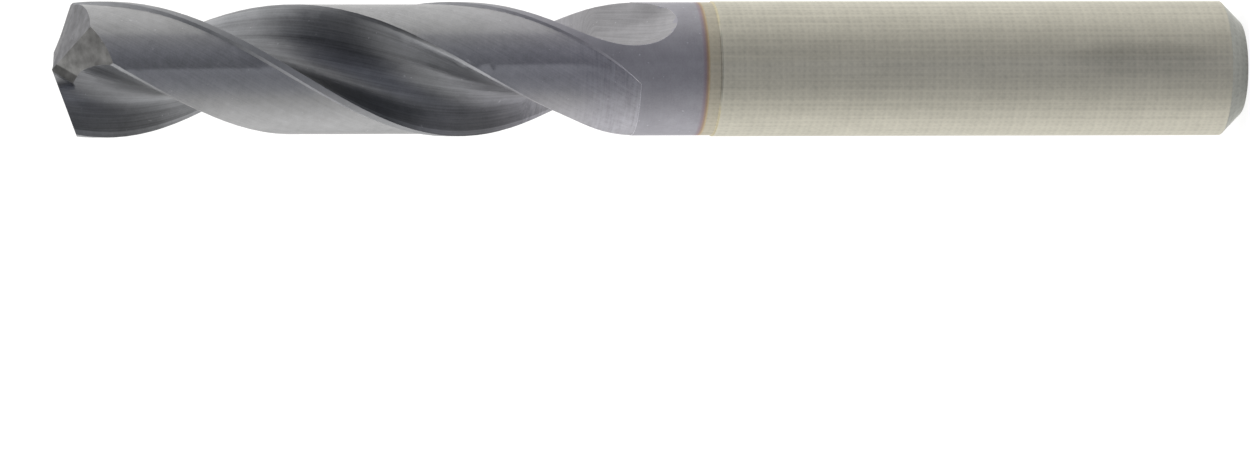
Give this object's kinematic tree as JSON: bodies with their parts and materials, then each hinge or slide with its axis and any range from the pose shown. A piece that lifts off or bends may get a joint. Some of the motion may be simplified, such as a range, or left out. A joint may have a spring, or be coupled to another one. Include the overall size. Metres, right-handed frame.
{
  "type": "solid carbide drill",
  "caption": "Short coated carbide twist drill with helical flutes, a four-facet self-centring point and a plain cylindrical shank that a chuck clamps.",
  "frame": {"origin": "centre of the flat shank end", "axes": "+Z runs along the drill axis from the shank end to the point, and +X runs roughly along one cutting lip"},
  "size_m": [0.01, 0.01, 0.089],
  "materials": {
    "carbide": "dark violet-grey hard coating on the fluted end, satin ground carbide on the shank"
  },
  "bodies": {
    "root": {"drill": "carbide"}
  },
  "joints": []
}
